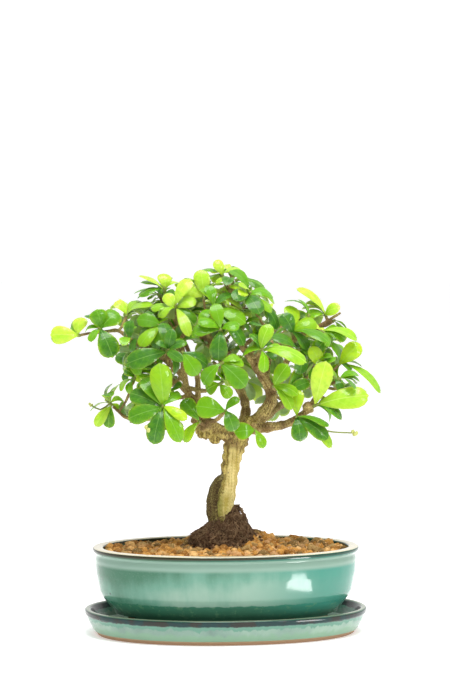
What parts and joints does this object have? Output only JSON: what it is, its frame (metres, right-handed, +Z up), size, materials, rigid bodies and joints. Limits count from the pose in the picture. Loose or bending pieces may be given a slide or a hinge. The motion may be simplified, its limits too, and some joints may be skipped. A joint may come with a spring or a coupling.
{
  "type": "fukien tea bonsai in an oval pot",
  "caption": "Small broad-crowned bonsai tree with spatulate leaves, in a low oval glazed pot of grainy soil that stands on a matching oval saucer.",
  "frame": {"origin": "centre of the saucer's flat underside", "axes": "+X along the long axis of the oval pot and saucer, to the right in the picture; +Y away from the viewer; +Z up, along the trunk"},
  "size_m": [0.2453, 0.1613, 0.2789],
  "materials": {
    "saucer_glaze": "gloss",
    "pot_glaze": "gloss",
    "baked_clay_grains": "matt",
    "fibrous_peat": "matt",
    "bark": "matt",
    "young_leaf": "satin",
    "mature_leaf": "gloss"
  },
  "bodies": {
    "root": {"saucer": "saucer_glaze", "pot": "pot_glaze", "soil": "baked_clay_grains", "root_mound": "fibrous_peat", "trunk_and_branches": "bark", "spray_far_left": "young_leaf", "spray_left_arm_middle": "mature_leaf", "spray_left_arm_top": "young_leaf", "spray_upper_left": "young_leaf", "spray_left_shoulder": "young_leaf", "spray_upper_middle": "young_leaf", "spray_apex": "young_leaf", "spray_upper_right": "young_leaf", "spray_right_crown": "mature_leaf", "spray_front_crown": "mature_leaf", "spray_front_heart": "mature_leaf", "spray_left_front": "mature_leaf", "spray_left_dark": "mature_leaf", "spray_front_pair": "mature_leaf", "spray_low_left_star": "mature_leaf", "spray_under_bough": "mature_leaf", "spray_front_low": "mature_leaf", "spray_fork": "mature_leaf", "spray_front_middle": "mature_leaf", "spray_inner_middle": "young_leaf", "spray_right_front": "young_leaf", "spray_right_inner": "young_leaf", "spray_right_crest": "mature_leaf", "spray_right_peak": "young_leaf", "spray_right_step": "young_leaf", "spray_far_right": "mature_leaf", "spray_low_right_star": "young_leaf", "spray_right_lime": "mature_leaf", "spray_low_right": "mature_leaf", "spray_crown_side": "mature_leaf", "spray_right_hollow": "mature_leaf", "spray_low_left_tip": "young_leaf", "spray_left_hang": "young_leaf", "spray_back_top_left": "young_leaf", "spray_back_top_right": "mature_leaf", "spray_back_crown": "young_leaf", "spray_back_left": "young_leaf", "spray_back_middle": "mature_leaf", "spray_back_right": "mature_leaf", "spray_back_far_right": "mature_leaf", "spray_back_left_arm": "young_leaf", "spray_back_left_low": "mature_leaf", "spray_back_left_side": "mature_leaf", "spray_back_right_low": "mature_leaf", "spray_back_right_side": "young_leaf", "spray_back_low_middle": "young_leaf", "spray_back_low_right": "mature_leaf"}
  },
  "joints": []
}
